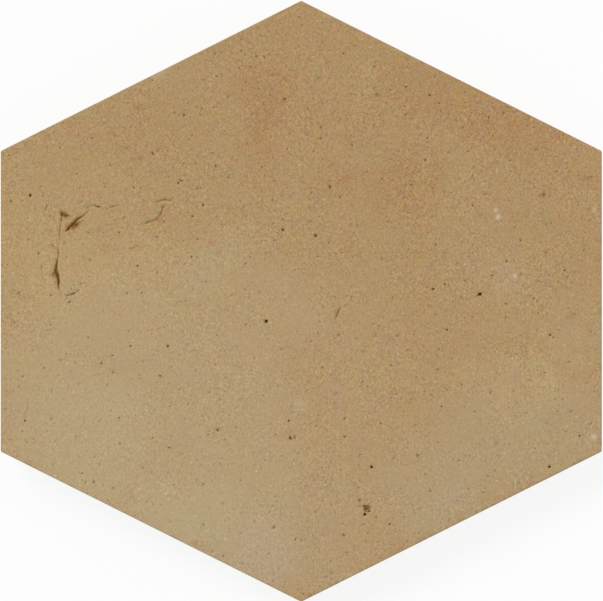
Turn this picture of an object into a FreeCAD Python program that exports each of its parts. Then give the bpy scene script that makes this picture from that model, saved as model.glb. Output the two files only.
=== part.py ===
import FreeCAD
import Part

import math
import os

# Hexagonal floor tile of hand-moulded, unglazed terracotta: one solid, fired in one piece.
# Millimetres, +Z up. The back lies on z = 0 with its centre at the origin, and the walking face looks up.
# Two of the six sides are upright in plan, at X = plus and minus half the width.
# The other four run to a point at the top and the bottom of the plan, on the Y axis.

# Outline of the walking face, before its corners are rounded
across_flats = 200.0
across_points = 200.0
upright_side_length = 100.0

# Section: a thick slab whose sides lean in towards the back, as the mould's walls do
thickness = 20.0
side_draft_deg = 1.5

# Rounded edges
corner_radius = 0.8
face_arris_radius = 0.5
back_arris_radius = 0.7

# Two heights closer than this count as one level
same_level = 1e-6

# Blow-holes in the walking face, the largest ones: share of the half width, share of the half length,
# width of the mouth, depth. The shares keep each hole in its place when the outline changes.
blow_holes = (
    (0.219, -0.690, 2.4, 0.7),
    (0.208, -0.711, 1.1, 0.8),
    (-0.118, -0.067, 1.4, 1.0),
    (0.595, 0.023, 1.5, 1.0),
    (0.231, -0.554, 1.2, 0.8),
    (0.823, -0.556, 1.2, 0.8),
    (0.048, 0.217, 1.2, 0.8),
    (-0.060, 0.233, 1.0, 0.7),
    (0.439, 0.043, 1.1, 0.7),
    (0.412, 0.467, 1.0, 0.7),
    (0.424, 0.683, 1.0, 0.7),
    (-0.904, 0.351, 1.1, 0.7),
)

# Tears in the walking face, where the soft clay pulled apart: the two ends of each straight run,
# as shares of the half width and half length, then the width of its mouth and its depth half way along.
tear_runs = (
    ((-0.784, 0.232), (-0.703, 0.299), 1.1, 1.3),
    ((-0.812, 0.173), (-0.809, 0.043), 1.3, 1.7),
    ((-0.811, 0.056), (-0.797, 0.013), 0.6, 0.8),
    ((-0.789, 0.014), (-0.739, 0.034), 0.5, 0.6),
    ((-0.528, 0.251), (-0.478, 0.270), 0.5, 0.6),
    ((-0.485, 0.265), (-0.449, 0.322), 0.5, 0.7),
)


def corners_at(outline, height):
    """The corners of an outline in the plan, lifted to one height."""
    return [FreeCAD.Vector(x, y, height) for x, y in outline]


def flat_face(corners):
    """A flat face between corners that are given anticlockwise, as seen from its outer side."""
    return Part.Face(Part.makePolygon(corners + corners[:1]))


def face_outline():
    """The six corners of the walking face, anticlockwise from the lower right, before rounding."""
    half_width = across_flats / 2
    half_length = across_points / 2
    half_side = upright_side_length / 2
    return [
        (half_width, -half_side),
        (half_width, half_side),
        (0.0, half_length),
        (-half_width, half_side),
        (-half_width, -half_side),
        (0.0, -half_length),
    ]


def moved_in(points, distance):
    """The outline with every side moved in by one distance, and its corners where the moved sides meet."""
    sides = []
    for (x0, y0), (x1, y1) in zip(points, points[1:] + points[:1]):
        length = math.hypot(x1 - x0, y1 - y0)
        normal = ((y1 - y0) / length, (x0 - x1) / length)
        sides.append((normal, normal[0] * x0 + normal[1] * y0 - distance))
    corners = []
    for (before, reach_before), (after, reach_after) in zip(sides[-1:] + sides[:-1], sides):
        cross = before[0] * after[1] - before[1] * after[0]
        corners.append((
            (reach_before * after[1] - reach_after * before[1]) / cross,
            (reach_after * before[0] - reach_before * after[0]) / cross,
        ))
    return corners


def edges_at(solid, height):
    """The edges that lie in the level plane at one height."""
    return [
        edge for edge in solid.Edges
        if all(abs(vertex.Z - height) < same_level for vertex in edge.Vertexes)
    ]


def upright_edges(solid):
    """The edges that run from the back up to the face."""
    return [edge for edge in solid.Edges if edge.BoundBox.ZLength > thickness / 2]


def slab():
    """The hexagonal slab: drafted sides, rounded corners, and a rounded edge round face and back."""
    side_lean = thickness * math.tan(math.radians(side_draft_deg))
    face = corners_at(face_outline(), thickness)
    back = corners_at(moved_in(face_outline(), side_lean), 0.0)
    next_face = face[1:] + face[:1]
    next_back = back[1:] + back[:1]
    sides = [flat_face(list(side)) for side in zip(back, next_back, next_face, face)]
    solid = Part.Solid(Part.Shell([flat_face(face), flat_face(back[::-1])] + sides))
    solid = solid.makeFillet(corner_radius, upright_edges(solid))
    solid = solid.makeFillet(face_arris_radius, edges_at(solid, thickness))
    return solid.makeFillet(back_arris_radius, edges_at(solid, 0.0))


def on_face(place):
    """A point of the walking face, from its shares of the half width and the half length."""
    across, along = place
    return FreeCAD.Vector(across * across_flats / 2, along * across_points / 2, thickness)


def radius_of_cap(chord, depth):
    """The radius of the circle that cuts a chord of this length and this depth."""
    return (chord ** 2 / 4 + depth ** 2) / (2 * depth)


def blow_hole(across, along, mouth, depth):
    """A round-bottomed hole: the part of a ball that dips below the face."""
    radius = radius_of_cap(mouth, depth)
    centre = on_face((across, along)) + FreeCAD.Vector(0, 0, radius - depth)
    return Part.makeSphere(radius, centre)


def tear(start, end, mouth, depth):
    """A crevice with a V section, deepest and widest half way along and closing to nothing at both ends.

    It is what a wheel with a sharp rim cuts: two cones back to back on a level axis across the run.
    """
    first = on_face(start)
    last = on_face(end)
    run = last - first
    radius = radius_of_cap(run.Length, depth)
    half_wheel = radius * mouth / (2 * depth)
    centre = (first + last) / 2 + FreeCAD.Vector(0, 0, radius - depth)
    axis = FreeCAD.Vector(-run.y, run.x, 0).normalize()
    one_side = Part.makeCone(radius, 0, half_wheel, centre, axis)
    other_side = Part.makeCone(radius, 0, half_wheel, centre, -axis)
    return one_side.fuse(other_side).removeSplitter()


def hexagon_tile():
    """The whole tile, with the blow-holes and tears of its walking face."""
    holes = [blow_hole(*hole) for hole in blow_holes]
    tears = [tear(*run) for run in tear_runs]
    return slab().cut(holes + tears)


os.makedirs("parts", exist_ok=True)
tile = hexagon_tile()
tile.exportStep("parts/hexagon_tile.step")
box = tile.optimalBoundingBox(False)
print(f"hexagon_tile: {box.XLength:.2f} x {box.YLength:.2f} x {box.ZLength:.2f} mm, {tile.Volume / 1000:.1f} cm3")
print(f"valid {tile.isValid()}, solids {len(tile.Solids)}, faces {len(tile.Faces)}")
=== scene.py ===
import math

import bmesh
import bpy
import numpy as np
from bpy.props import FloatProperty, FloatVectorProperty, IntProperty, PointerProperty
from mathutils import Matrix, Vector
from mathutils.geometry import delaunay_2d_cdt


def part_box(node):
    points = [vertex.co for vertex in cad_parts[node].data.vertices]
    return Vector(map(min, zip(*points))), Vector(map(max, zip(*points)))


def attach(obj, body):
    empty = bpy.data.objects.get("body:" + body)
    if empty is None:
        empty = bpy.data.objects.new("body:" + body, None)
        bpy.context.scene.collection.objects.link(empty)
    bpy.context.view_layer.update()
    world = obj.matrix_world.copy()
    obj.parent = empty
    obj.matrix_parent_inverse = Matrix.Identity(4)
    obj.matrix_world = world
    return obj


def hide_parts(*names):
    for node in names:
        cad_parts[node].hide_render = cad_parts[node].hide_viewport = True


bl_info = {
    "name": "Hexagonal terracotta floor tile",
    "version": (1, 0, 0),
    "blender": (4, 5, 0),
    "location": "View3D > Sidebar > Tile",
    "description": "A hand-moulded clay tile with its blow-holes, tears and fired colours",
    "category": "Object",
}

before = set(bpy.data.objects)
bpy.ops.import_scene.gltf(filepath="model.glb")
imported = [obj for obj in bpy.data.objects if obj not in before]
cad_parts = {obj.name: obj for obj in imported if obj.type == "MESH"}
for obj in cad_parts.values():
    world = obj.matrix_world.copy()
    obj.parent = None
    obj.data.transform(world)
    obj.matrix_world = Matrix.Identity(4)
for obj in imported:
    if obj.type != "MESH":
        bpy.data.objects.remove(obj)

MM = 0.001
NODE = "hexagon_tile"
BODY = "root"

# The tile's box in the frame: its back lies on the lowest level and its walking face is the highest
box_low, box_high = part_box(NODE)
HALF_WIDTH = box_high.x
TOP = box_high.z
BOTTOM = box_low.z

# Marks are placed on the walking face in millimetres, on a face 200 mm wide: one of them in metres
MARK = 2 * HALF_WIDTH / 200.0

# Where the middle of the photograph lies, from which the marks are counted, seen from the middle of the tile
MIDDLE_ACROSS = 0.1
MIDDLE_ALONG = 0.25

# Blow-holes that stand out: place across, place along, width of the mouth and depth
LARGE_HOLES = (
    (21.9, -69.2, 2.5, 0.72),
    (21.0, -68.5, 0.9, 0.65),
    (22.5, -70.1, 0.7, 0.60),
    (21.1, -71.2, 1.05, 1.10),
    (-11.7, -6.9, 1.12, 1.30),
    (59.5, 2.1, 1.08, 1.35),
    (23.3, -55.4, 0.92, 1.15),
    (82.5, -55.4, 0.84, 1.10),
    (4.8, 21.5, 0.95, 0.60),
    (-6.1, 23.4, 0.80, 0.65),
    (43.9, 3.8, 0.74, 0.66),
    (47.7, 5.4, 0.70, 0.45),
    (41.2, 46.7, 0.68, 0.45),
    (42.7, 68.3, 0.74, 0.55),
    (34.9, 71.0, 0.56, 0.42),
    (-90.2, 34.9, 0.95, 0.80),
    (80.7, 35.1, 1.30, 0.34),
    (79.3, 34.7, 0.80, 0.24),
    (82.7, -11.5, 0.72, 0.72),
    (48.4, -9.8, 0.70, 0.50),
    (-54.5, 11.5, 0.76, 0.42),
    (-41.0, 39.0, 0.66, 0.52),
    (-40.1, 39.8, 0.60, 0.48),
    (-32.7, 31.7, 0.70, 0.48),
    (-44.4, -15.2, 0.76, 0.72),
    (-56.7, -15.2, 0.70, 0.42),
    (-4.2, -40.1, 0.65, 0.50),
    (-3.7, -45.7, 0.90, 0.68),
    (-2.2, -45.6, 0.55, 0.40),
    (-92.0, -40.0, 0.70, 0.60),
    (-27.9, -43.2, 0.60, 0.50),
    (-9.1, -75.6, 0.95, 0.42),
    (68.3, 13.0, 0.68, 0.42),
)

# Smaller holes that still show from standing height: their places, the range of their widths, and their
# depth as a share of the width
SMALL_HOLES = (
    (7.0, 92.5), (14.0, 82.0), (-20.0, 83.0), (-15.0, 81.0), (-28.0, 74.5), (-5.5, 67.0), (25.0, 68.5),
    (46.0, 65.5), (-39.0, 61.5), (6.5, 57.5), (62.5, 61.0), (42.0, 54.0), (-49.5, 49.0), (69.5, 46.5),
    (-63.5, 45.0), (-28.5, 44.5), (36.5, 38.5), (9.5, 38.0), (-96.5, 33.0), (57.0, 31.5),
    (-36.0, 28.0), (-59.0, 27.5), (-60.5, 22.5), (73.0, 20.0), (-9.0, 20.0), (-87.5, 15.5),
    (5.5, 14.5), (-36.5, 14.5), (87.5, 10.0), (-70.5, 8.0), (-53.0, 2.5), (68.0, -1.0), (5.5, -11.0),
    (-66.5, -21.0), (-85.5, -22.5), (45.5, -23.0), (-62.5, -24.0), (81.0, -24.0), (-47.0, -25.0),
    (-40.5, -29.5), (41.0, -30.5), (63.0, -30.5), (-60.5, -39.0), (26.5, -41.0), (92.5, -45.0),
    (14.5, -45.5), (-44.0, -49.0), (38.5, -51.5), (-73.0, -57.5), (-69.0, -60.5), (43.0, -63.5),
    (19.5, -66.5), (19.5, -68.5), (25.0, -72.0), (29.5, -74.5), (14.0, -78.0), (-2.0, -79.5),
    (-26.0, -85.0), (10.0, -91.0), (-45.6, 26.1), (-73.3, 5.4), (-77.2, -0.6), (-47.9, 21.2),
)
SMALL_WIDTHS = (0.34, 0.58)
SMALL_DEPTH_SHARE = 0.80

# Tears in the face: along each, the place of a point and half the width of the mouth there
TEARS = (
    ((-78.2, 23.2, 0.30), (-77.6, 23.9, 0.74), (-76.8, 24.9, 0.54), (-75.9, 25.8, 0.50), (-74.5, 27.1, 0.48),
     (-73.1, 27.9, 0.36), (-71.8, 28.9, 0.20), (-70.7, 29.8, 0.05)),
    ((-75.4, 24.8, 0.08), (-74.7, 25.2, 0.24), (-73.9, 25.9, 0.08)),
    ((-79.7, 29.9, 0.06), (-79.8, 29.0, 0.32), (-79.8, 27.8, 0.26), (-79.9, 26.9, 0.30), (-79.9, 26.3, 0.10),
     (-80.2, 24.8, 0.10), (-80.4, 23.2, 0.24), (-80.4, 22.5, 0.12), (-80.4, 21.8, 0.22), (-80.4, 21.0, 0.08),
     (-80.5, 19.5, 0.10), (-80.8, 18.4, 0.06)),
    ((-78.9, 28.2, 0.06), (-77.9, 28.2, 0.36), (-77.0, 28.0, 0.06)),
    ((-72.4, 30.2, 0.04), (-71.2, 30.9, 0.10), (-69.8, 31.6, 0.12), (-68.7, 31.7, 0.18), (-68.2, 31.3, 0.24),
     (-67.2, 31.1, 0.32), (-66.8, 30.9, 0.06)),
    ((-63.9, 30.9, 0.06), (-63.3, 31.1, 0.20), (-62.6, 31.3, 0.18), (-61.2, 31.5, 0.05)),
    ((-84.3, 31.8, 0.06), (-84.9, 30.8, 0.18), (-85.6, 29.8, 0.06)),
    ((-83.0, 18.5, 0.08), (-82.6, 18.1, 0.30), (-82.3, 17.8, 0.06)),
    ((-81.1, 17.5, 0.06), (-80.8, 16.1, 0.20), (-80.9, 14.7, 0.18), (-81.3, 13.0, 0.30), (-81.6, 11.2, 0.60),
     (-81.7, 10.0, 0.78), (-81.2, 8.4, 0.68), (-80.9, 6.7, 0.56), (-80.9, 5.0, 0.42), (-80.6, 3.6, 0.14),
     (-80.1, 1.9, 0.08)),
    ((-78.9, 1.9, 0.06), (-77.6, 1.7, 0.24), (-76.2, 2.2, 0.32), (-75.6, 2.5, 0.32), (-75.0, 2.8, 0.14),
     (-74.2, 3.2, 0.14), (-73.8, 3.5, 0.05)),
    ((-78.1, 1.5, 0.10), (-78.1, 0.6, 0.16), (-78.2, 0.1, 0.06)),
    ((-52.5, 25.2, 0.08), (-50.8, 26.1, 0.32), (-49.6, 26.4, 0.22), (-48.5, 26.9, 0.30), (-47.5, 27.9, 0.20),
     (-46.8, 29.0, 0.32), (-46.3, 29.9, 0.24), (-46.1, 30.8, 0.38), (-45.2, 31.8, 0.10)),
    ((-48.5, 32.7, 0.07), (-47.7, 32.9, 0.26), (-46.5, 33.3, 0.20), (-45.2, 33.5, 0.36), (-44.5, 33.3, 0.16),
     (-43.7, 33.2, 0.24), (-42.9, 33.9, 0.07)),
    ((-57.2, 17.1, 0.05), (-56.2, 17.4, 0.15), (-55.2, 17.8, 0.05)),
    ((13.1, -2.6, 0.06), (12.5, -3.2, 0.30), (12.1, -4.2, 0.26), (11.6, -5.4, 0.26), (11.4, -6.4, 0.06)),
    ((18.2, -61.6, 0.05), (18.9, -62.2, 0.20), (19.4, -62.6, 0.06)),
    ((-90.6, -33.0, 0.04), (-91.0, -35.6, 0.10), (-91.8, -38.6, 0.04)),
    ((47.2, -28.7, 0.05), (48.3, -29.6, 0.18), (48.9, -29.9, 0.05)),
)

# Where the painted shade in tears is weaker or stronger than their depth makes it: a place,
# how far round it that holds, and the share of their painted shade
TEAR_SHADES = (
    (-75.0, 26.8, 3.2, 0.84),
    (-47.0, 29.5, 9.0, 0.44),
    (12.1, -4.5, 4.0, 0.56),
    (-81.0, 7.8, 1.8, 1.30),
)

# Shallow scars beside the tears, where a skin of clay came away: place, half length, half width,
# turn in degrees and depth
SCARS = (
    (-75.3, 25.1, 2.1, 1.15, 40.0, 0.30),
    (-78.9, 28.5, 1.4, 0.9, -20.0, 0.35),
    (-82.3, 8.6, 1.1, 0.9, 80.0, 0.25),
)

# Depth at which a tear and a hole take their full painted shade, and the most painted shade that the widest
# tears get; then the same for the shallow scars
TEAR_FULL_DEPTH = 0.55 * MM
TEAR_SHADE_LIMIT = 1.16
HOLE_FULL_DEPTH = 1.35 * MM
SCAR_FULL_DEPTH = 0.4 * MM
SCAR_SHADE_LIMIT = 0.6

# How ragged a tear's rims are, as a share of a hole's, and how far scattered holes stay from the face's edge
TEAR_RAGGEDNESS_SHARE = 0.85
SCATTER_MARGIN = 1.2 * MM

# How far the plain points of the face keep from its edge and from a rim, as a share of their step
EDGE_CLEARANCE_SHARE = 0.55
RIM_CLEARANCE_SHARE = 0.38

# Steps in a rounded corner of the plan and in the rounded edge round the face or the back
CORNER_STEPS = 5
ARRIS_STEPS = 4

# A hole is the lower half of a ball of this many segments and rings
CUP_SEGMENTS = 10
CUP_RINGS = 6
CUP_POINTS = CUP_SEGMENTS * (CUP_RINGS // 2) + 1

# Soft patches of colour on the face: place, half length and half width (in shares of the half width of the
# face), strength, turn in degrees, and how firm the edge is, from 2 for soft to 6 for firm. A patch fades to
# half its strength at its half length or half width. One without the last two isn't turned, and is as firm
# as the rest of its list.
WARM_PATCHES = (
    (0.62, 0.61, 0.27, 0.12, 0.68, -27.0),
    (0.44, 0.66, 0.22, 0.12, 0.54, -27.0),
    (0.16, 0.62, 0.22, 0.14, 0.30, -27.0),
    (-0.10, 0.63, 0.070, 0.17, 0.72, 4.0, 2.0),
    (0.34, 0.38, 0.14, 0.09, 0.58, 40.0),
    (0.16, 0.40, 0.10, 0.08, 0.36),
    (0.98, 0.14, 0.07, 0.12, 0.20, 0.0, 2.0),
    (0.05, 0.88, 0.34, 0.14, 0.24),
    (-0.50, 0.56, 0.24, 0.09, 0.20, 20.0),
    (0.30, 0.14, 0.20, 0.24, 0.16),
    (0.82, 0.36, 0.20, 0.20, 0.16),
)
STRAW_PATCHES = (
    (-0.82, 0.12, 0.36, 0.20, 0.50, -20.0),
    (-0.56, 0.14, 0.22, 0.10, 0.42),
    (-0.88, -0.14, 0.14, 0.14, 0.40),
    (-0.80, 0.34, 0.24, 0.12, 0.25),
    (0.81, -0.26, 0.12, 0.05, 0.40, 60.0),
    (0.60, -0.28, 0.10, 0.06, 0.20),
    (0.21, 0.73, 0.03, 0.05, 0.30, 0.0, 2.0),
    (0.40, 0.58, 0.03, 0.02, 0.45),
)
PALE_PATCHES = (
    (-0.54, -0.40, 0.55, 0.45, 0.50, 0.0, 6.0),
    (-0.25, -0.66, 0.26, 0.42, 0.52, 0.0, 6.0),
    (-0.33, 0.06, 0.16, 0.14, 0.36),
    (-0.72, -0.46, 0.34, 0.28, 0.76),
    (-0.40, -0.68, 0.26, 0.20, 0.76),
    (-0.12, -0.02, 0.26, 0.16, 0.34),
    (0.16, -0.50, 0.18, 0.60, 0.18, 0.0, 4.0),
    (0.00, -0.33, 0.03, 0.03, 0.75),
    (-0.46, 0.76, 0.04, 0.03, 0.60),
    (0.72, 0.09, 0.05, 0.08, 0.30, 0.0, 2.0),
    (0.02, -0.93, 0.10, 0.07, 0.20),
)
GREY_PATCHES = (
    (0.76, -0.46, 0.36, 0.20, 0.46, 20.0, 4.0),
    (0.46, -0.62, 0.16, 0.18, 0.50, 0.0, 4.0),
    (0.08, -0.80, 0.14, 0.20, 0.28),
    (0.96, -0.12, 0.14, 0.14, 0.20),
)
ASH_PATCHES = (
    (-0.13, -0.86, 0.14, 0.10, 0.50, -30.0),
    (0.48, -0.68, 0.16, 0.07, 0.16, 25.0),
)
SAGE_PATCHES = (
    (-0.37, -0.72, 0.14, 0.08, 0.26, -20.0, 2.0),
    (-0.30, 0.12, 0.14, 0.05, 0.14, 30.0, 2.0),
)
STRAW_FLECKS = (
    (0.807, -0.102, 0.016, 0.012, 0.60),
    (0.917, -0.118, 0.012, 0.022, 0.40),
    (0.767, -0.185, 0.011, 0.022, 0.60),
    (0.690, -0.195, 0.032, 0.012, 0.40),
    (0.914, -0.205, 0.022, 0.012, 0.55, 20.0),
    (0.830, -0.270, 0.050, 0.018, 0.50, 115.0),
    (0.680, -0.310, 0.050, 0.020, 0.45, 100.0),
    (0.885, -0.330, 0.050, 0.010, 0.35, 20.0),
    (0.535, -0.480, 0.022, 0.014, 0.35),
    (-0.662, 0.071, 0.020, 0.014, 0.40),
    (-0.579, -0.004, 0.022, 0.014, 0.35, 40.0),
    (-0.807, -0.037, 0.026, 0.018, 0.40),
    (0.410, 0.470, 0.014, 0.012, 0.45),
    (0.408, 0.425, 0.010, 0.014, 0.35),
    (0.212, 0.720, 0.016, 0.030, 0.25),
)
RUST_SPOTS = (
    (-0.534, 0.473, 0.009, 0.007, 0.75),
    (-0.548, 0.473, 0.020, 0.010, 0.25),
    (-0.545, 0.641, 0.012, 0.012, 0.35),
    (-0.672, 0.239, 0.010, 0.008, 0.40, 30.0, 3.0),
    (-0.651, 0.178, 0.022, 0.012, 0.18),
    (0.151, 0.408, 0.014, 0.010, 0.35),
    (-0.048, -0.441, 0.012, 0.010, 0.25),
    (0.947, 0.404, 0.016, 0.012, 0.40),
    (0.896, -0.053, 0.014, 0.010, 0.30),
    (-0.349, -0.809, 0.016, 0.010, 0.25),
    (-0.755, 0.247, 0.020, 0.010, 0.55, 42.0),
    (-0.789, 0.283, 0.012, 0.009, 0.35),
    (-0.825, 0.088, 0.010, 0.010, 0.35),
    (-0.545, 0.179, 0.020, 0.008, 0.26, 20.0),
    (-0.296, 0.192, 0.010, 0.008, 0.32),
    (-0.468, 0.275, 0.030, 0.007, 0.30, 42.0),
    (0.118, -0.042, 0.014, 0.007, 0.14, 70.0),
)
LIME_SPOTS = (
    (0.655, 0.279, 0.0080, 0.0060, 0.68, 80.0),
    (0.647, 0.301, 0.0070, 0.0055, 0.54, 20.0),
    (0.711, 0.082, 0.0085, 0.0045, 0.64, 80.0),
    (0.973, -0.454, 0.0080, 0.0070, 0.58),
    (0.976, 0.302, 0.0055, 0.0055, 0.36),
    (-0.554, 0.333, 0.0040, 0.0035, 0.40),
)
PATCH_FIRMNESS = 3.0
SPOT_FIRMNESS = 2.0

# What sand, and mottling from pink to yellow and from red to green, add to the clay's colour
SAND_TINT = (0.61, 0.49, 0.33)
YELLOW_TINT = (0.35, 0.07, -0.22)
GREEN_TINT = (-0.30, 0.35, -0.09)

# Random changes of colour: size in millimetres, strength and tint. Grain is struck off along the tile, grain
# and mottling are stronger in sandy clay, and drifts are the same all over.
GRAIN = ((0.42, 0.46, SAND_TINT), (0.95, 0.20, SAND_TINT))
MOTTLING = (
    (3.2, 0.048, SAND_TINT), (1.0, 0.05, GREEN_TINT), (2.6, 0.125, YELLOW_TINT), (2.8, 0.10, GREEN_TINT),
)
DRIFTS = ((9.0, 0.022, SAND_TINT), (7.0, 0.06, YELLOW_TINT), (7.5, 0.05, GREEN_TINT))
# How much painted shade darkens the tiny pores, and how much the quartz grains lighten the clay
PORE_SHADE_STRENGTH = -0.21
QUARTZ_STRENGTH = 0.25

# How much painted shade darkens holes, tears, scars, voids and creases, where 1 squares the colour, and how
# much darker the rough sides' own colour is
HOLLOW_SHADE_POWER = 1.35
VOID_SHADE_POWER = 0.80
CREASE_SHADE_POWER = 0.34
ROUGH_DARKNESS = 0.14
# Share of the dark colour of the painted shade that the deepest holes and tears take, and share of mould
# sand on the rough parts
HOLE_SHADE_COLOUR_SHARE = 0.35
DUST_SHARE = 0.34

# Depth of the finest relief on the face, and what the sides and the back add to it
FINE_RELIEF = 0.10 * MM
ROUGH_RELIEF = 0.38 * MM

# The photograph's frame and the face's own width in it, in pixels
PHOTO_WIDTH = 603
FACE_WIDTH_IN_PHOTO = 601.3


def length(name, description, millimetres):
    """A length that can be changed, with its default in millimetres."""
    return FloatProperty(name=name, description=description, default=millimetres * MM, unit="LENGTH")


def angle(name, description, degrees):
    """An angle that can be changed, with its default in degrees."""
    return FloatProperty(name=name, description=description, default=math.radians(degrees), subtype="ANGLE")


def factor(name, description, share):
    """A share that can be changed, from none to all."""
    return FloatProperty(name=name, description=description, default=share, min=0, max=1, subtype="FACTOR")


def tone(name, description, *colour):
    """A colour that can be changed."""
    return FloatVectorProperty(
        name=name, description=description, default=colour, min=0, max=1, size=3, subtype="COLOR",
    )


class TileSizes(bpy.types.PropertyGroup):
    """Sizes of the moulded slab and of the mesh that stands for it."""

    side_draft: angle("Side draft", "Lean of the six sides, in towards the back", 1.5)
    corner_radius: length("Corner radius", "Rounding of the six corners in plan", 0.8)
    face_arris: length("Face arris", "Rounding of the edge round the walking face", 0.5)
    back_arris: length("Back arris", "Rounding of the edge round the back", 0.7)
    face_step: length("Face step", "Distance between points of the face's mesh", 0.86)
    side_step: length("Side step", "Distance between points of the sides' mesh", 0.95)
    back_step: length("Back step", "Distance between points of the back's mesh", 1.7)


class HoleSizes(bpy.types.PropertyGroup):
    """Sizes of the tears and of the blow-holes that are scattered between the ones that stand out."""

    spacing: length("Spacing", "Least distance between scattered holes", 9.0)
    smallest: length("Smallest mouth", "Width of the smallest scattered hole", 0.24)
    largest: length("Largest mouth", "Width of the largest scattered hole", 0.56)
    depth_share: FloatProperty(
        name="Depth share", description="Depth of a scattered hole as a share of its mouth", default=0.42,
    )
    clearance: length("Clearance", "Distance that scattered holes keep from the marks that stand out", 1.6)
    raggedness: length("Raggedness", "How far the rims of holes and tears stray from a smooth line", 0.10)
    tear_step: length("Tear step", "Distance between points along a tear", 0.25)
    tear_depth_share: FloatProperty(
        name="Tear depth", description="Depth of a tear as a share of half its width", default=1.6,
    )
    seed: IntProperty(name="Seed", description="Chooses another scatter of holes", default=7, min=0)


class ReliefSizes(bpy.types.PropertyGroup):
    """Heights of the clay's own relief, which is struck, dragged and pressed by hand."""

    wave_height: length("Face waves", "Depth of the slow waves in the walking face", 0.10)
    wave_size: length("Wave size", "Distance from one wave to the next", 38)
    grain_height: length("Face grain", "Depth of the sandy grain in the face", 0.05)
    grain_size: length("Grain size", "Distance from one grain to the next", 2.4)
    drag_height: length("Side drag", "Depth of the marks that the mould left on the sides", 0.22)
    knock_height: length("Side knocks", "Depth of the dents in the sides", 0.60)
    chip_depth: length("Edge chips", "Depth of the small chips along the edge of the walking face", 0.50)
    void_depth: length("Void depth", "Depth of the voids in the sides and the back", 0.90)
    back_height: length("Back relief", "Depth of the sand bed's print on the back", 0.30)


class ClayColours(bpy.types.PropertyGroup):
    """Colours of the fired clay and of what is in it."""

    clay: tone("Clay", "The clay between its warm and pale parts", 0.422, 0.277, 0.133)
    warm: tone("Warm clay", "Where the flame reached the clay", 0.397, 0.227, 0.099)
    pale: tone("Pale clay", "Where salts paled the clay", 0.468, 0.361, 0.209)
    grey: tone("Grey clay", "Where smoke greyed the clay", 0.430, 0.336, 0.195)
    ash: tone("Ash", "Where fine ash lay on the pale clay", 0.456, 0.343, 0.240)
    sage: tone("Green clay", "Where salts gave the pale clay a green cast", 0.420, 0.370, 0.209)
    straw: tone("Straw clay", "Yellow patches in the clay", 0.479, 0.342, 0.162)
    rust: tone("Rust", "Iron that bled from a nodule", 0.33, 0.145, 0.055)
    lime: tone("Lime", "Burnt lime specks", 0.67, 0.60, 0.47)
    dust: tone("Mould sand", "Sand from the mould that clings to the sides and the back", 0.52, 0.40, 0.25)
    # The hole colour is the dark colour of the painted shade in holes and tears
    hole: tone("Hole", "The inside of holes and tears", 0.105, 0.030, 0.003)


class StageSettings(bpy.types.PropertyGroup):
    """Floor, lights and camera."""

    lens: FloatProperty(
        name="Lens", description="Focal length in millimetres, on a sensor 36 mm wide", default=200.0,
    )
    floor_colour: tone("Floor", "Colour of the floor", 0.86, 0.86, 0.86)
    floor_whiteness: factor("Floor whiteness", "Share of white in the floor that the camera sees", 0.88)
    sky_share: factor("Even light", "Share of the light on the face that comes from all round", 0.55)
    key_elevation: angle("Key elevation", "Height of the main lamp above the horizon", 52)
    key_azimuth: angle("Key azimuth", "Direction of the main lamp, anticlockwise from +X", 128)
    key_softness: angle("Key softness", "Angle that the main lamp fills, seen from the tile", 24)


class Nodes:
    """Adds nodes to a tree and links them, so that a tree reads as a list of steps."""

    def __init__(self, tree):
        self.tree = tree

    def add(self, kind, inputs=None, **settings):
        """A new node, with its settings and with each input set to a value or linked to an output."""
        node = self.tree.nodes.new(kind)
        for name, value in settings.items():
            setattr(node, name, value)
        for name, value in (inputs or {}).items():
            if isinstance(value, bpy.types.NodeSocket):
                self.tree.links.new(value, node.inputs[name])
            else:
                node.inputs[name].default_value = value
        return node

    def first(self, kind, inputs=None, **settings):
        """The first output of a new node."""
        return self.add(kind, inputs, **settings).outputs[0]

    def named(self, name):
        """A number that is stored for each point, in a geometry tree."""
        return self.first("GeometryNodeInputNamedAttribute", {"Name": name})

    def math(self, operation, *values, clamp=False):
        """One step of arithmetic."""
        return self.first("ShaderNodeMath", dict(enumerate(values)), operation=operation, use_clamp=clamp)

    def times(self, one, other):
        """One number times another."""
        return self.math("MULTIPLY", one, other)

    def greatest(self, *values):
        """The greatest of some numbers."""
        most = values[0]
        for value in values[1:]:
            most = self.math("MAXIMUM", most, value)
        return most

    def vector(self, operation, *values):
        """One step of arithmetic on vectors."""
        node = self.add("ShaderNodeVectorMath", dict(enumerate(values)), operation=operation)
        return node.outputs["Value" if operation == "LENGTH" else "Vector"]

    def scaled(self, vector, scale):
        """A vector times a number."""
        return self.first("ShaderNodeVectorMath", {"Vector": vector, "Scale": scale}, operation="SCALE")

    def upright(self, vector):
        """The upright part of a vector."""
        return self.add("ShaderNodeSeparateXYZ", {0: vector}).outputs["Z"]

    def noise(self, place, size, detail=1.0, roughness=0.5, output="Fac"):
        """Soft noise, with the distance from one lump to the next given in metres."""
        scale = self.math("DIVIDE", 1.0, size) if isinstance(size, bpy.types.NodeSocket) else 1 / size
        return self.add("ShaderNodeTexNoise", {
            "Vector": place, "Scale": scale, "Detail": detail, "Roughness": roughness,
        }).outputs[output]

    def wander(self, place, size, detail=1.0):
        """A random vector about zero."""
        lumps = self.noise(place, size, detail, output="Color")
        return self.vector("SUBTRACT", lumps, (0.5, 0.5, 0.5))

    def step(self, value, low, high):
        """0 below one value and 1 above another, with a smooth rise between them."""
        return self.first("ShaderNodeMapRange", {
            "Value": value, "From Min": low, "From Max": high,
        }, interpolation_type="SMOOTHSTEP")

    def mix(self, share, one, other):
        """A colour between two colours."""
        return self.add("ShaderNodeMix", {0: share, 6: one, 7: other}, data_type="RGBA").outputs[2]


def cleared(owner):
    """The nodes of a material or a world, with none in it yet."""
    owner.use_nodes = True
    owner.node_tree.nodes.clear()
    return Nodes(owner.node_tree)


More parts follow.
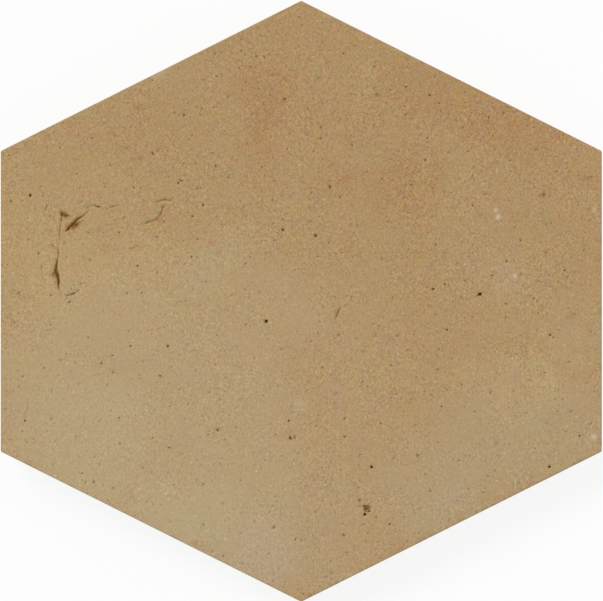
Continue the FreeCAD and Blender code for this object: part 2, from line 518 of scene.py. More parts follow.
def opaque(colour):
    """A colour with its alpha."""
    return (*colour, 1.0)


def on_tile(across, along):
    """The place on the tile of a mark, in metres."""
    return (across + MIDDLE_ACROSS) * MARK, (along + MIDDLE_ALONG) * MARK


def placed(name, data):
    """A new object at the origin."""
    thing = bpy.data.objects.new(name, data)
    bpy.context.scene.collection.objects.link(thing)
    return thing


def new_mesh_object(name, points, faces=()):
    """An object with a new mesh, at the origin."""
    mesh = bpy.data.meshes.new(name)
    mesh.from_pydata([tuple(point) for point in points], [], [tuple(face) for face in faces])
    return placed(name, mesh)


def discard(thing):
    """Removes a helper object and its data."""
    data = thing.data
    bpy.data.objects.remove(thing)
    if isinstance(data, bpy.types.Mesh):
        bpy.data.meshes.remove(data)
    else:
        bpy.data.curves.remove(data)


def store(mesh, name, values):
    """Stores a number for each point of a mesh."""
    mesh.attributes.new(name, "FLOAT", "POINT").data.foreach_set("value", np.array(values, np.float32))


def points_of(mesh):
    """The places of a mesh's points, as rows of an array."""
    places = np.empty(len(mesh.vertices) * 3, np.float32)
    mesh.vertices.foreach_get("co", places)
    return places.reshape(-1, 3).astype(float)


def titled(name):
    """The name of a tree's input, from that of the property which sets it."""
    return name.replace("_", " ").title()


def geometry_tree(name, inputs):
    """A new tree for a Geometry Nodes modifier: its nodes, its inputs and the inputs' identifiers."""
    tree = bpy.data.node_groups.new(name, "GeometryNodeTree")
    tree.is_modifier = True
    tree.interface.new_socket(name="Geometry", in_out="INPUT", socket_type="NodeSocketGeometry")
    tree.interface.new_socket(name="Geometry", in_out="OUTPUT", socket_type="NodeSocketGeometry")
    identifiers = {}
    for label, kind in {**inputs, "Material": "Material"}.items():
        socket = tree.interface.new_socket(name=label, in_out="INPUT", socket_type="NodeSocket" + kind)
        identifiers[label] = socket.identifier
    nodes = Nodes(tree)
    return nodes, nodes.add("NodeGroupInput").outputs, identifiers


def finish_tree(nodes, geometry, given):
    """Ends a tree in Realize Instances and Set Material."""
    real = nodes.first("GeometryNodeRealizeInstances", {"Geometry": geometry})
    painted = nodes.first("GeometryNodeSetMaterial", {"Geometry": real, "Material": given["Material"]})
    nodes.add("NodeGroupOutput", {"Geometry": painted})


def made_by(thing, nodes, identifiers, values):
    """The mesh that a tree makes of an object, with the tree's inputs set to values."""
    modifier = thing.modifiers.new(nodes.tree.name, "NODES")
    modifier.node_group = nodes.tree
    for label, value in values.items():
        modifier[identifiers[label]] = value
    evaluated = thing.evaluated_get(bpy.context.evaluated_depsgraph_get())
    mesh = bpy.data.meshes.new_from_object(evaluated)
    thing.modifiers.remove(modifier)
    if not mesh.vertices:
        raise RuntimeError(f"the tree {nodes.tree.name} made nothing of {thing.name}")
    return mesh


def sides_of(corners):
    """The sides of an outline, each as its first and its last corner."""
    return zip(corners, corners[1:] + corners[:1])


def moved_in(corners, distance):
    """The outline with every side moved in by one distance, as its corners, and the sides' normals."""
    normals = []
    reaches = []
    for (x0, y0), (x1, y1) in sides_of(corners):
        length_of_side = math.hypot(x1 - x0, y1 - y0)
        normal = ((y1 - y0) / length_of_side, (x0 - x1) / length_of_side)
        normals.append(normal)
        reaches.append(normal[0] * x0 + normal[1] * y0 - distance)
    moved = []
    for k, (after, reach_after) in enumerate(zip(normals, reaches)):
        before, reach_before = normals[k - 1], reaches[k - 1]
        cross = before[0] * after[1] - before[1] * after[0]
        moved.append((
            (reach_before * after[1] - reach_after * before[1]) / cross,
            (reach_after * before[0] - reach_before * after[0]) / cross,
        ))
    return moved, normals


def depth_inside(points, corners):
    """How far points lie inside a convex outline: the distance of each from the nearest side."""
    nearest = np.full(len(points), np.inf)
    for (x0, y0), (x1, y1) in sides_of(corners):
        across = (x0 - points[:, 0]) * (y1 - y0) - (y0 - points[:, 1]) * (x1 - x0)
        nearest = np.minimum(nearest, across / math.hypot(x1 - x0, y1 - y0))
    return nearest


class Outline:
    """The tile's outline at any height, always with the same number of points."""

    def __init__(self, sizes):
        self.sizes = sizes
        # The sides are widest just below the face's rounded edge, where they fill the box
        lean = math.tan(sizes.side_draft) * sizes.face_arris
        self.half_width = HALF_WIDTH + lean
        # The rounded points of the plan fall short of the outline's own corners
        point_angle = math.atan2(1.0, 2.0)
        shortfall = sizes.corner_radius * (1 / math.cos(point_angle) - 1)
        self.half_length = box_high.y + shortfall + lean / math.cos(point_angle)
        wide, long, short = self.half_width, self.half_length, self.half_length / 2
        self.corners = [
            (wide, -short), (wide, short), (0.0, long), (-wide, short), (-wide, -short), (0.0, -long),
        ]

    def moved(self, z):
        """How far the drafted side has moved in at a height."""
        return (TOP - z) * math.tan(self.sizes.side_draft)

    def ring(self, z, rounding):
        """Points of the outline at a height, moved in by the lean of the side and by a rounded edge."""
        radius = self.sizes.corner_radius
        centres, normals = moved_in(self.corners, self.moved(z) + radius)
        points = []
        for k, (centre, normal) in enumerate(zip(centres, normals)):
            before = normals[k - 1]
            start = math.atan2(before[1], before[0])
            turn = math.atan2(normal[1], normal[0]) - start
            turn = (turn + math.pi) % (2 * math.pi) - math.pi
            for step in range(CORNER_STEPS + 1):
                towards = start + turn * step / CORNER_STEPS
                points.append((
                    centre[0] + (radius - rounding) * math.cos(towards),
                    centre[1] + (radius - rounding) * math.sin(towards),
                ))
            following = (k + 1) % len(centres)
            steps = round(math.dist(self.corners[k], self.corners[following]) / self.sizes.side_step)
            first = np.array(points[-1])
            last = np.array(centres[following]) + (radius - rounding) * np.array(normal)
            points.extend(first + (last - first) * (step / steps) for step in range(1, steps))
        return raised(np.array(points), z)

    def grid(self, step, stray, inset, seed):
        """Staggered rows of points, each strayed a little, that lie deeper than an inset in the outline."""
        rows = np.arange(-self.half_length, self.half_length, step * math.sqrt(3) / 2)
        xs, ys = np.meshgrid(np.arange(-self.half_width, self.half_width, step), rows)
        xs = xs + (np.arange(len(rows)) % 2)[:, None] * step / 2
        points = np.stack([xs.ravel(), ys.ravel()], 1)
        points = points + np.random.default_rng(seed).uniform(-stray, stray, points.shape) * step
        return points[depth_inside(points, self.corners) > inset]


def raised(points, z):
    """Points of the plan, lifted to a height."""
    return np.column_stack([points, np.full(len(points), z)])


def ragged(nodes, geometry, amount, size):
    """Moves points about in the plane of the face, all those of one place together."""
    place = nodes.first("GeometryNodeInputPosition")
    stray = nodes.vector("MULTIPLY", nodes.scaled(nodes.wander(place, size), amount), (4.0, 4.0, 0.0))
    return nodes.first("GeometryNodeSetPosition", {"Geometry": geometry, "Offset": stray})


def hole_tree():
    """Cups for the blow-holes: the ones that stand out, and others scattered between them."""
    nodes, given, identifiers = geometry_tree("blow_holes", {
        "Face": "Object", "Tears": "Object", "Spacing": "Float", "Smallest": "Float", "Largest": "Float",
        "Depth Share": "Float", "Clearance": "Float", "Raggedness": "Float", "Seed": "Int",
    })
    marked = nodes.first("GeometryNodeMeshToPoints", {"Mesh": given["Geometry"]})
    face, tears = (
        nodes.add("GeometryNodeObjectInfo", {"Object": given[name]}).outputs["Geometry"]
        for name in ("Face", "Tears")
    )
    points = nodes.first("GeometryNodeDistributePointsOnFaces", {
        "Mesh": face, "Distance Min": given["Spacing"], "Density Max": 1e6, "Seed": given["Seed"],
    }, distribute_method="POISSON")
    # Most holes are small: a random share is squared before it is spread between the two widths
    share = nodes.add("FunctionNodeRandomValue", {2: 0.0, 3: 1.0, "Seed": given["Seed"]}).outputs[1]
    spread = nodes.math("SUBTRACT", given["Largest"], given["Smallest"])
    mouth = nodes.math("MULTIPLY_ADD", nodes.math("POWER", share, 2.0), spread, given["Smallest"])
    for name, value in (("mouth", mouth), ("depth", nodes.times(mouth, given["Depth Share"]))):
        points = nodes.first("GeometryNodeStoreNamedAttribute", {
            "Geometry": points, "Name": name, "Value": value,
        })
    for target in (marked, tears):
        near = nodes.add("GeometryNodeProximity", {0: target}, target_element="POINTS").outputs["Distance"]
        close = nodes.first("FunctionNodeCompare", {0: near, 1: given["Clearance"]}, operation="LESS_THAN")
        points = nodes.first("GeometryNodeDeleteGeometry", {"Geometry": points, "Selection": close})
    both = nodes.add("GeometryNodeJoinGeometry")
    for source in (points, marked):
        nodes.tree.links.new(source, both.inputs[0])

    ball = nodes.first("GeometryNodeMeshUVSphere", {
        "Segments": CUP_SEGMENTS, "Rings": CUP_RINGS, "Radius": 1.0,
    })
    height = nodes.upright(nodes.first("GeometryNodeInputPosition"))
    upper = nodes.first("FunctionNodeCompare", {0: height, 1: 0.01}, operation="GREATER_THAN")
    cup = nodes.first("GeometryNodeDeleteGeometry", {"Geometry": ball, "Selection": upper})
    wide = nodes.times(nodes.named("mouth"), 0.5)
    turn = nodes.add("FunctionNodeRandomValue", {2: 0.0, 3: 2 * math.pi, "Seed": 3}).outputs[1]
    cups = nodes.first("GeometryNodeInstanceOnPoints", {
        "Points": both.outputs[0], "Instance": cup,
        "Scale": nodes.first("ShaderNodeCombineXYZ", {"X": wide, "Y": wide, "Z": nodes.named("depth")}),
        "Rotation": nodes.first("ShaderNodeCombineXYZ", {"Z": turn}),
    })
    real = nodes.first("GeometryNodeRealizeInstances", {"Geometry": cups})
    finish_tree(nodes, ragged(nodes, real, given["Raggedness"], 1.1 * MM), given)
    return nodes, identifiers


def tear_tree():
    """Crevices with a V section that follow the tears' lines, as wide as each line's own radius."""
    nodes, given, identifiers = geometry_tree("tears", {
        "Step": "Float", "Depth Share": "Float", "Raggedness": "Float",
    })
    path = nodes.first("GeometryNodeCurveSplineType", {
        "Curve": given["Geometry"],
    }, spline_type="CATMULL_ROM")
    path = nodes.first("GeometryNodeResampleCurve", {"Curve": path, "Length": given["Step"]}, mode="LENGTH")
    path = nodes.first("GeometryNodeSetCurveNormal", {"Curve": path}, mode="Z_UP")
    line = nodes.first("GeometryNodeCurvePrimitiveLine", {"Start": (-1, 0, 0), "End": (1, 0, 0)})
    mouth = nodes.first("GeometryNodeResampleCurve", {"Curve": line, "Count": 3}, mode="COUNT")
    index = nodes.first("GeometryNodeInputIndex")
    middle = nodes.first("FunctionNodeCompare", {2: index, 3: 1}, data_type="INT", operation="EQUAL")
    # A section's Y axis points down on a level path
    drop = nodes.first("ShaderNodeCombineXYZ", {"Y": given["Depth Share"]})
    section = nodes.first("GeometryNodeSetPosition", {
        "Geometry": mouth, "Selection": middle, "Offset": drop,
    })
    crevice = nodes.first("GeometryNodeCurveToMesh", {
        "Curve": path, "Profile Curve": section, "Scale": nodes.first("GeometryNodeInputRadius"),
    })
    finish_tree(nodes, ragged(nodes, crevice, given["Raggedness"], 0.9 * MM), given)
    return nodes, identifiers


def marked_holes():
    """A point for each blow-hole that stands out, with the width of its mouth and its depth."""
    widths = np.random.default_rng(11).uniform(*SMALL_WIDTHS, len(SMALL_HOLES))
    holes = list(LARGE_HOLES)
    holes += [(*place, width, SMALL_DEPTH_SHARE * width) for place, width in zip(SMALL_HOLES, widths)]
    thing = new_mesh_object("marked_holes", [(*on_tile(*hole[:2]), 0.0) for hole in holes])
    store(thing.data, "mouth", [mouth * MARK for _, _, mouth, _ in holes])
    store(thing.data, "depth", [depth * MARK for _, _, _, depth in holes])
    return thing


def tear_lines():
    """A curve with one line for each tear, whose points' radius is half the width of the mouth."""
    curve = bpy.data.curves.new("tear_lines", "CURVE")
    curve.dimensions = "3D"
    for tear in TEARS:
        spline = curve.splines.new("POLY")
        spline.points.add(len(tear) - 1)
        for point, (across, along, half) in zip(spline.points, tear):
            point.co = (*on_tile(across, along), 0.0, 1.0)
            point.radius = half * MARK
    return placed("tear_lines", curve)


def far_from(points, centres, radii):
    """The points that lie outside every one of a set of circles."""
    kept = np.ones(len(points), bool)
    for centre, radius in zip(centres, radii):
        near = np.abs(points - centre).max(1) < radius
        kept[near] &= ((points[near] - centre) ** 2).sum(1) > radius ** 2
    return points[kept]


def filled(ring, extra):
    """Triangles that fill a closed outline through points inside it, and where each point came from."""
    corners = [Vector(point[:2]) for point in (*ring, *extra)]
    border = [(k, (k + 1) % len(ring)) for k in range(len(ring))]
    places, _, faces, origins, _, _ = delaunay_2d_cdt(corners, border, [], 1, 1e-9)
    return np.array([tuple(place) for place in places]), faces, origins


def face_points(outline, holes):
    """Points that shape the walking face, at their depths, and how much painted shade each gets."""
    sizes = outline.sizes
    lines = tear_lines()
    tears = made_by(lines, *tear_tree(), {
        "Step": holes.tear_step, "Depth Share": holes.tear_depth_share,
        "Raggedness": holes.raggedness * TEAR_RAGGEDNESS_SHARE,
    })
    tears_object = placed("tears", tears)
    scattered_over, _ = moved_in(outline.corners, sizes.face_arris + SCATTER_MARGIN)
    field = new_mesh_object("field", [(x, y, 0.0) for x, y in scattered_over], [range(6)])
    marked = marked_holes()
    cups = made_by(marked, *hole_tree(), {
        "Face": field, "Tears": tears_object,
        **{titled(name): getattr(holes, name) for name in (
            "spacing", "smallest", "largest", "depth_share", "clearance", "raggedness", "seed",
        )},
    })
    crevices = points_of(tears).reshape(-1, 3, 3)
    hollows = points_of(cups).reshape(-1, CUP_POINTS, 3)
    for thing in (tears_object, field, marked, lines):
        discard(thing)

    # Tears and holes get painted shade as dark as they are deep, partly for the darker clay inside them
    tear_shade = np.clip(-crevices[..., 2] / TEAR_FULL_DEPTH, 0, TEAR_SHADE_LIMIT)
    for across, along, reach, shade_share in TEAR_SHADES:
        away = np.linalg.norm(crevices[..., :2] - on_tile(across, along), axis=2)
        tear_shade[away < reach * MARK] *= shade_share
    hole_shade = np.clip(-hollows[..., 2] / HOLE_FULL_DEPTH, 0, 1)

    # The plain points between them keep a part of a step clear of every rim
    step = sizes.face_step
    clear = RIM_CLEARANCE_SHARE * step
    inset = sizes.face_arris + EDGE_CLEARANCE_SHARE * step
    grid = outline.grid(step, stray=0.12, inset=inset, seed=5)
    halves = np.linalg.norm(crevices[:, 0, :2] - crevices[:, 2, :2], axis=1) / 2
    grid = far_from(grid, crevices[:, [0, 2], :2].mean(1), halves + clear)
    centres = hollows[:, :, :2].mean(1)
    reaches = np.linalg.norm(hollows[:, :, :2] - centres[:, None], axis=2).max(1)
    grid = far_from(grid, centres, reaches + clear)
    points = np.concatenate([crevices.reshape(-1, 3), hollows.reshape(-1, 3), raised(grid, 0.0)])
    return points, np.concatenate([tear_shade.ravel(), hole_shade.ravel(), np.zeros(len(grid))])


def scarred(points):
    """How deep the shallow scars beside the tears are at each point of the face."""
    depth = np.zeros(len(points))
    for across, along, half_length, half_width, turn, deep in SCARS:
        away = (points[:, :2] - on_tile(across, along)) / MARK
        c, s = math.cos(math.radians(turn)), math.sin(math.radians(turn))
        along_scar = (away[:, 0] * c + away[:, 1] * s) / half_length
        across_scar = (away[:, 1] * c - away[:, 0] * s) / half_width
        share = np.clip(1 - along_scar ** 2 - across_scar ** 2, 0, 1)
        depth = np.maximum(depth, deep * MARK * share ** 0.6)
    return depth


def section_rows(sizes):
    """The slab's section from face to back: heights, and how far rounded edges move the outline in."""
    turns = [math.pi / 2 * step / ARRIS_STEPS for step in range(ARRIS_STEPS + 1)]
    face, back = sizes.face_arris, sizes.back_arris
    straight = TOP - BOTTOM - face - back
    steps = round(straight / sizes.side_step)
    rows = [(TOP - face * (1 - math.cos(turn)), face * (1 - math.sin(turn))) for turn in turns]
    rows += [(TOP - face - straight * step / steps, 0.0) for step in range(1, steps + 1)]
    rows += [(BOTTOM + back * (1 - math.sin(turn)), back * (1 - math.cos(turn))) for turn in turns[1:]]
    return rows


def slab_mesh(sizes, holes):
    """The closed mesh of the tile, with the painted shade of its hollows stored for each point."""
    outline = Outline(sizes)
    rings = [outline.ring(z, rounding) for z, rounding in section_rows(sizes)]
    count = len(rings[0])
    sides = np.concatenate(rings)
    faces = []
    for row in range(len(rings) - 1):
        for k in range(count):
            a, b = row * count + k, row * count + (k + 1) % count
            faces.append((a, a + count, b + count, b))

    shaped, shades = face_points(outline, holes)
    places, triangles, origins = filled(rings[0], shaped)
    face = raised(places, 0.0)
    shade = np.zeros(len(face))
    for k, sources in enumerate(origins):
        sources = [source - count for source in sources if source >= count]
        face[k, 2] = min(shaped[sources, 2], default=0.0)
        shade[k] = max(shades[sources], default=0.0)
    scars = scarred(face)
    # The shallow scars get painted shade by their depth
    shade = np.maximum(shade, SCAR_SHADE_LIMIT * np.clip(scars / SCAR_FULL_DEPTH, 0, 1))
    face[:, 2] += TOP - scars
    faces += [tuple(len(sides) + k for k in triangle) for triangle in triangles]

    inset = outline.moved(BOTTOM) + sizes.back_arris + 0.5 * sizes.back_step
    places, triangles, _ = filled(rings[-1], outline.grid(sizes.back_step, stray=0.15, inset=inset, seed=6))
    back = raised(places, BOTTOM)
    offset = len(sides) + len(face)
    faces += [tuple(offset + k for k in reversed(triangle)) for triangle in triangles]

    thing = new_mesh_object(NODE + "_dressed", np.concatenate([sides, face, back]), faces)
    mesh = thing.data
    store(mesh, "hollow", np.concatenate([np.zeros(len(sides)), shade, np.zeros(len(back))]))
    shape = bmesh.new()
    shape.from_mesh(mesh)
    bmesh.ops.remove_doubles(shape, verts=shape.verts, dist=1e-7)
    bmesh.ops.recalc_face_normals(shape, faces=shape.faces)
    shape.to_mesh(mesh)
    shape.free()
    store_shares(mesh, outline)
    return thing


def store_shares(mesh, outline):
    """Stores how much each point belongs to the face, its rounded edge, the sides and the back."""
    sizes = outline.sizes
    places = points_of(mesh)
    z = places[:, 2]
    upper = z > (TOP + BOTTOM) / 2
    inwards = depth_inside(places, outline.corners)
    from_edge = inwards - sizes.face_arris
    from_back_edge = inwards - outline.moved(BOTTOM) - sizes.back_arris

    def rise(distance, millimetres):
        """0 where a distance is none, and 1 where it is at least some millimetres."""
        return np.clip(distance / (millimetres * MM), 0, 1)

    # The widest ring of the outline stays where the frame has it, and so do the edges of the sides
    above_widest = np.clip(1 - (TOP - z) / sizes.face_arris, 0, 1)
    along_side = np.minimum(rise(TOP - sizes.face_arris - z, 2.0), rise(z - BOTTOM, 1.5))
    store(mesh, "on_face", np.where(upper, rise(from_edge, 3.0), 0.0))
    store(mesh, "on_arris", above_widest * (1 - rise(from_edge, 1.3)))
    store(mesh, "on_side", np.where(from_edge < 1.5 * MM, along_side, 0.0))
    store(mesh, "on_back", np.where(upper, 0.0, rise(from_back_edge, 3.0)))


def specks(nodes, place, cell, largest, share):
    """Grains scattered at random, from faint to 1 inside a grain. Only a share of the cells holds one."""
    near = nodes.add("ShaderNodeTexVoronoi", {"Vector": place, "Scale": 1 / cell, "Randomness": 1.0})
    chance = nodes.add("ShaderNodeSeparateXYZ", {0: near.outputs["Color"]}).outputs
    there = nodes.math("LESS_THAN", chance["X"], share)
    size = nodes.times(chance["Y"], largest / cell)
    inside = nodes.step(nodes.math("SUBTRACT", size, near.outputs["Distance"]), -0.02, 0.10)
    return nodes.times(inside, nodes.times(chance["Z"], there))


def voids_at(nodes, place):
    """Voids in the rough parts, wider than they are high, with ragged rims: 0 outside and up to 1 inside."""
    stray = nodes.scaled(nodes.wander(place, 1.6 * MM, 3.0), 2.4 * MM)
    squat = nodes.vector("MULTIPLY", nodes.vector("ADD", place, stray), (0.55, 0.55, 1.0))
    return specks(nodes, squat, cell=4.0 * MM, largest=0.80 * MM, share=0.60)


def relief_tree():
    """The clay's own relief: waves and grain in the face, chips along its edge, and rough sides and back."""
    nodes, given, identifiers = geometry_tree("relief", {
        titled(name): "Float" for name in ReliefSizes.__annotations__
    })
    place = nodes.first("GeometryNodeInputPosition")
    face, arris, side, back = (nodes.named(name) for name in ("on_face", "on_arris", "on_side", "on_back"))

    def dent(size, height, part, detail=2.0, limits=None, place=place):
        """How far a part lies below its full height. With limits, only what lies between them is dented."""
        lumps = nodes.noise(place, size, detail)
        if limits:
            lumps = nodes.step(lumps, *limits)
        return nodes.times(nodes.times(lumps, given[height]), part)

    # The sides' marks run up and down, as the mould was lifted off
    lifted = nodes.vector("MULTIPLY", place, (1.0, 1.0, 0.15))
    rough_part = nodes.math("ADD", side, back, clamp=True)
    total = nodes.times(nodes.times(voids_at(nodes, place), given["Void Depth"]), rough_part)
    for part in (
        dent(given["Wave Size"], "Wave Height", face, 1.0),
        dent(given["Grain Size"], "Grain Height", face, 3.0),
        dent(3.0 * MM, "Drag Height", side, 3.0, (0.42, 0.68), lifted),
        dent(9.0 * MM, "Knock Height", side, 2.0, (0.46, 0.70)),
        dent(5.0 * MM, "Back Height", back, 5.0, (0.42, 0.68)),
        dent(3.6 * MM, "Chip Depth", arris, 3.0, (0.57, 0.67)),
    ):
        total = nodes.math("ADD", total, part)
    offset = nodes.scaled(nodes.first("GeometryNodeInputNormal"), nodes.times(total, -1.0))
    moved = nodes.first("GeometryNodeSetPosition", {"Geometry": given["Geometry"], "Offset": offset})
    finish_tree(nodes, moved, given)
    return nodes, identifiers


def patch_group():
    """A node group: the strength of one soft patch at a place on the tile."""
    tree = bpy.data.node_groups.new("soft_patch", "ShaderNodeTree")
    for label, kind in (("Place", "Vector"), ("Centre", "Vector"), ("Half Size", "Vector"),
                        ("Turn", "Float"), ("Strength", "Float"), ("Firmness", "Float")):
        tree.interface.new_socket(name=label, in_out="INPUT", socket_type="NodeSocket" + kind)
    tree.interface.new_socket(name="Strength", in_out="OUTPUT", socket_type="NodeSocketFloat")
    nodes = Nodes(tree)
    given = nodes.add("NodeGroupInput").outputs
    turned = nodes.first("ShaderNodeVectorRotate", {
        "Vector": nodes.vector("SUBTRACT", given["Place"], given["Centre"]),
        "Angle": nodes.times(given["Turn"], -1.0),
    }, rotation_type="Z_AXIS")
    reach = nodes.vector("LENGTH", nodes.vector("DIVIDE", turned, given["Half Size"]))
    fade = nodes.math("POWER", 0.5, nodes.math("POWER", reach, given["Firmness"]))
    nodes.add("NodeGroupOutput", {"Strength": nodes.times(fade, given["Strength"])})
    return tree


def patches(nodes, group, place, listed, firmness=PATCH_FIRMNESS):
    """The strength of the strongest of a list of soft patches."""
    strengths = []
    for across, along, half_length, half_width, strength, *rest in listed:
        half_length *= HALF_WIDTH
        strengths.append(nodes.first("ShaderNodeGroup", {
            "Place": place,
            "Centre": (across * HALF_WIDTH, along * HALF_WIDTH + MIDDLE_ALONG * MM, TOP),
            # A patch goes as far down the side as it goes across the face
            "Half Size": (half_length, half_width * HALF_WIDTH, max(half_length, 4 * MM)),
            "Turn": math.radians(rest[0]) if rest else 0.0,
            "Strength": strength,
            "Firmness": rest[1] if rest[1:] else firmness,
        }, node_tree=group))
    return nodes.greatest(*strengths)


def creases(nodes, place):
    """Short creases that run nearly level, where one lump of clay met the next: 1 in the middle of one."""
    level = nodes.math("DIVIDE", nodes.upright(place), 6.0 * MM)
    wander = nodes.noise(nodes.vector("MULTIPLY", place, (1.0, 1.0, 0.4)), 22 * MM, 5.0, 0.6)
    layers = nodes.math("FRACT", nodes.math("MULTIPLY_ADD", wander, 2.2, level))
    away = nodes.math("ABSOLUTE", nodes.math("SUBTRACT", layers, 0.5))
    crease = nodes.math("SUBTRACT", 1.0, nodes.times(away, 24.0), clamp=True)
    broken = nodes.noise(nodes.vector("MULTIPLY", place, (0.4, 0.4, 1.0)), 5.0 * MM, 3.0)
    return nodes.times(crease, nodes.step(broken, 0.53, 0.66))


def terracotta(colours):
    """Unglazed fired clay: flame marks, mottling, sand, iron and lime, and painted shade in its holes,
    tears, pores, voids and creases.
    """
    material = bpy.data.materials.new("fired_terracotta")
    nodes = cleared(material)
    place = nodes.add("ShaderNodeTexCoord").outputs["Object"]
    group = patch_group()

    def strayed(start, size, amount, detail):
        """A place moved level at random, by up to about an amount. Sizes are in millimetres."""
        stray = nodes.wander(place, size * MM, detail)
        return nodes.vector("ADD", start, nodes.vector("MULTIPLY", stray, (amount * MM, amount * MM, 0.0)))

    broad = strayed(strayed(place, 30, 26, 3.0), 5, 7, 3.0)
    close = strayed(place, 1.6, 1.2, 2.0)

    colour = opaque(colours.clay)
    paleness = 0.0
    for listed, painted in ((STRAW_PATCHES, colours.straw), (PALE_PATCHES, colours.pale),
                            (GREY_PATCHES, colours.grey), (ASH_PATCHES, colours.ash),
                            (SAGE_PATCHES, colours.sage), (WARM_PATCHES, colours.warm)):
        strength = patches(nodes, group, broad, listed)
        colour = nodes.mix(strength, colour, opaque(painted))
        if listed in (PALE_PATCHES, GREY_PATCHES, ASH_PATCHES):
            paleness = nodes.greatest(paleness, strength)
    for listed, painted in ((STRAW_FLECKS, colours.straw), (RUST_SPOTS, colours.rust)):
        colour = nodes.mix(patches(nodes, group, close, listed, SPOT_FIRMNESS), colour, opaque(painted))

    # Clay is sandier in some places than in others, and pale clay is smoother
    sandy = nodes.step(nodes.noise(broad, 17 * MM, 2.0), 0.30, 0.70)
    sandy = nodes.math("SUBTRACT", nodes.math("MULTIPLY_ADD", sandy, 0.7, 0.75), nodes.times(paleness, 0.45))
    struck = nodes.vector("MULTIPLY", place, (1.06, 0.80, 1.0))
    pores = specks(nodes, place, cell=1.35 * MM, largest=0.42 * MM, share=0.52)
    elsewhere = nodes.vector("ADD", place, (0.3, 0.1, 0.2))
    quartz = specks(nodes, elsewhere, cell=1.5 * MM, largest=0.42 * MM, share=0.60)
    # Tiny pores get painted shade, and quartz grains are paler sand
    changes = [
        (SAND_TINT, nodes.times(pores, PORE_SHADE_STRENGTH)),
        (SAND_TINT, nodes.times(quartz, QUARTZ_STRENGTH)),
    ]
    for listed, start, sandiness in ((GRAIN, struck, sandy), (MOTTLING, place, sandy), (DRIFTS, place, 1.0)):
        for size, strength, tint in listed:
            lumps = nodes.math("SUBTRACT", nodes.noise(start, size * MM), 0.5)
            changes.append((tint, nodes.times(lumps, nodes.times(sandiness, strength))))
    for tint, amount in changes:
        colour = nodes.vector("ADD", colour, nodes.scaled(tint, amount))
    colour = nodes.mix(patches(nodes, group, close, LIME_SPOTS, SPOT_FIRMNESS), colour, opaque(colours.lime))

    side, back, hollow = (
        nodes.add("ShaderNodeAttribute", attribute_name=name).outputs["Fac"]
        for name in ("on_side", "on_back", "hollow")
    )
    rough_part = nodes.math("ADD", side, back, clamp=True)
    # Voids and creases in the rough parts get painted shade further down, besides their bump
    voids = nodes.times(voids_at(nodes, place), rough_part)
    crease = nodes.times(creases(nodes, place), side)
    # Sand from the mould clings to the sides in streaks
    streaks = nodes.noise(nodes.vector("MULTIPLY", place, (1.0, 1.0, 0.3)), 3.2 * MM, 4.0, 0.65)
    dust = nodes.times(nodes.step(streaks, 0.47, 0.66), rough_part)
    colour = nodes.mix(nodes.times(dust, DUST_SHARE), colour, opaque(colours.dust))
    # Inside holes and tears the painted shade is broken here and there by painted light, as a rough inside
    # catches the light
    lit = nodes.step(nodes.noise(place, 0.75 * MM, 3.0, 0.7), 0.36, 0.60)
    hollow = nodes.times(hollow, nodes.math("MULTIPLY_ADD", lit, 0.60, 0.48))
    # Painted shade in holes, tears, voids and creases: light that bounces about in a hole reddens as it
    # darkens, as the colour raised to a power does. The rough parts' own colour is a little darker too
    depth = nodes.greatest(
        nodes.times(hollow, HOLLOW_SHADE_POWER),
        nodes.times(voids, VOID_SHADE_POWER),
        nodes.times(crease, CREASE_SHADE_POWER),
    )
    depth = nodes.math("ADD", depth, nodes.times(rough_part, ROUGH_DARKNESS))
    colour = nodes.first("ShaderNodeGamma", {"Color": colour, "Gamma": nodes.math("ADD", depth, 1.0)})
    # The deepest painted shade in holes and tears takes on the hole colour
    colour = nodes.mix(nodes.times(hollow, HOLE_SHADE_COLOUR_SHARE), colour, opaque(colours.hole))

    height = nodes.times(nodes.noise(place, 0.9 * MM, 3.0, 0.7), 0.6)
    fine = nodes.noise(place, 0.35 * MM, 2.0, 0.6)
    for part, share in ((fine, 0.4), (pores, -0.5), (voids, -1.2), (crease, -0.9), (dust, 0.25)):
        height = nodes.math("MULTIPLY_ADD", part, share, height)
    lift = nodes.times(height, nodes.math("MULTIPLY_ADD", rough_part, ROUGH_RELIEF, FINE_RELIEF))
    bump = nodes.first("ShaderNodeBump", {"Height": lift, "Strength": 1.0, "Distance": 1.0})
    shader = nodes.first("ShaderNodeBsdfPrincipled", {
        "Base Color": colour, "Roughness": 0.92, "Specular IOR Level": 0.25, "Normal": bump,
    })
    nodes.add("ShaderNodeOutputMaterial", {"Surface": shader})
    return material


class TILE_OT_hexagon_tile(bpy.types.Operator):
    """Makes the tile: one fired slab, with the blow-holes and tears of its walking face"""

    bl_idname = "tile.hexagon_tile"
    bl_label = "Hexagon tile"

    def execute(self, context):
        scene = context.scene
        thing = slab_mesh(scene.tile_sizes, scene.tile_holes)
        plain = thing.data
        thing.data = made_by(thing, *relief_tree(), {
            **{titled(name): getattr(scene.tile_relief, name) for name in ReliefSizes.__annotations__},
            "Material": terracotta(scene.tile_colours),
        })
        bpy.data.meshes.remove(plain)
        thing.data.name = thing.name
        thing.data.shade_smooth()
        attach(thing, BODY)
        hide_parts(NODE)
        return {"FINISHED"}


def white_to_camera(nodes, shader, share):
    """What the camera, reflections and glass see mixes a share of plain white into a shader."""
    path = nodes.add("ShaderNodeLightPath").outputs
    seen = nodes.greatest(path["Is Camera Ray"], path["Is Glossy Ray"], path["Is Transmission Ray"])
    white = nodes.first("ShaderNodeEmission", {"Color": (1, 1, 1, 1), "Strength": 1.0})
    return nodes.first("ShaderNodeMixShader", {0: nodes.times(seen, share), 1: shader, 2: white})


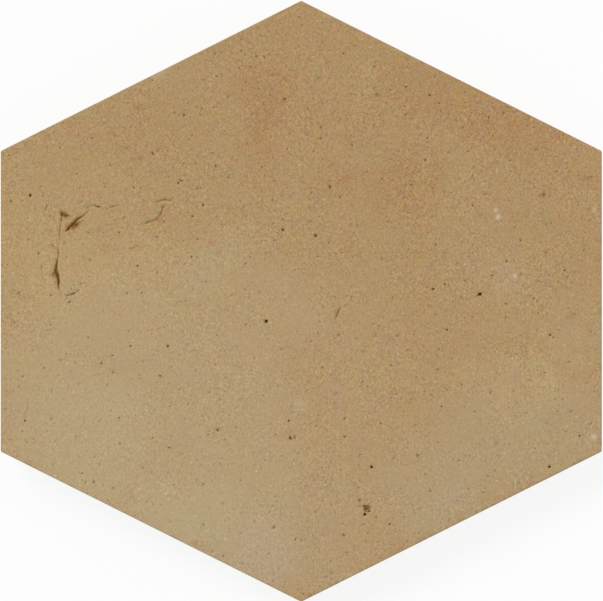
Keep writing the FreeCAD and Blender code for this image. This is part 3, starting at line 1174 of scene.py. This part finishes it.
def make_floor(stage):
    """A plain pale floor, a hair's breadth below the tile's back, so that the two never share a level."""
    reach = 20 * HALF_WIDTH
    corners = np.array([(-reach, -reach), (reach, -reach), (reach, reach), (-reach, reach)])
    floor = new_mesh_object("floor", raised(corners, BOTTOM - 0.05 * MM), [range(4)])
    material = bpy.data.materials.new("floor")
    nodes = cleared(material)
    plain = nodes.first("ShaderNodeBsdfDiffuse", {"Color": opaque(stage.floor_colour)})
    nodes.add("ShaderNodeOutputMaterial", {"Surface": white_to_camera(nodes, plain, stage.floor_whiteness)})
    floor.data.materials.append(material)


def make_world(stage):
    """Even light from all round, plain white to the camera."""
    world = bpy.data.worlds.new("studio")
    nodes = cleared(world)
    light = nodes.first("ShaderNodeBackground", {"Color": (1, 1, 1, 1), "Strength": stage.sky_share})
    nodes.add("ShaderNodeOutputWorld", {"Surface": white_to_camera(nodes, light, 1.0)})
    bpy.context.scene.world = world


def make_lamp(stage):
    """One broad lamp high on the far left, which gives the face the rest of its light."""
    lamp = placed("key", bpy.data.lights.new("key", "SUN"))
    lamp.data.angle = stage.key_softness
    lamp.data.energy = math.pi * (1 - stage.sky_share) / math.sin(stage.key_elevation)
    flat = math.cos(stage.key_elevation)
    lamp.location = (
        flat * math.cos(stage.key_azimuth),
        flat * math.sin(stage.key_azimuth),
        math.sin(stage.key_elevation),
    )
    lamp.rotation_euler = lamp.location.to_track_quat("Z", "Y").to_euler()


def make_camera(stage):
    """A camera that looks straight down on the middle of the face, through a long lens."""
    camera = placed("camera", bpy.data.cameras.new("camera"))
    camera.data.lens = stage.lens
    view_width = 2 * HALF_WIDTH * PHOTO_WIDTH / FACE_WIDTH_IN_PHOTO
    distance = view_width * stage.lens / camera.data.sensor_width
    camera.data.clip_start = 0.1 * distance
    camera.data.clip_end = 10 * distance
    camera.location = (*on_tile(0.0, 0.0), TOP + distance)
    bpy.context.scene.camera = camera


class TILE_OT_stage(bpy.types.Operator):
    """Makes the floor, the light and the camera"""

    bl_idname = "tile.stage"
    bl_label = "Stage"

    def execute(self, context):
        for make in (make_floor, make_world, make_lamp, make_camera):
            make(context.scene.tile_stage)
        context.scene.view_settings.view_transform = "Standard"
        return {"FINISHED"}


class TILE_PT_sidebar(bpy.types.Panel):
    """Sizes and colours of the tile, and the steps that make it"""

    bl_idname = "TILE_PT_sidebar"
    bl_label = "Tile"
    bl_space_type = "VIEW_3D"
    bl_region_type = "UI"
    bl_category = "Tile"

    def draw(self, context):
        for group, settings in SETTINGS.items():
            section = self.layout.box()
            for name in settings.__annotations__:
                section.prop(getattr(context.scene, group), name)
        for operator in (TILE_OT_hexagon_tile, TILE_OT_stage):
            self.layout.operator(operator.bl_idname)


SETTINGS = {
    "tile_sizes": TileSizes,
    "tile_holes": HoleSizes,
    "tile_relief": ReliefSizes,
    "tile_colours": ClayColours,
    "tile_stage": StageSettings,
}
CLASSES = (*SETTINGS.values(), TILE_OT_hexagon_tile, TILE_OT_stage, TILE_PT_sidebar)


def register():
    for one in CLASSES:
        bpy.utils.register_class(one)
    for name, settings in SETTINGS.items():
        setattr(bpy.types.Scene, name, PointerProperty(type=settings))


def unregister():
    for name in SETTINGS:
        delattr(bpy.types.Scene, name)
    for one in reversed(CLASSES):
        bpy.utils.unregister_class(one)


def main():
    """Builds the tile and its stage."""
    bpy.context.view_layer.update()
    register()
    bpy.ops.tile.hexagon_tile()
    bpy.ops.tile.stage()


if __name__ == "__main__":
    main()
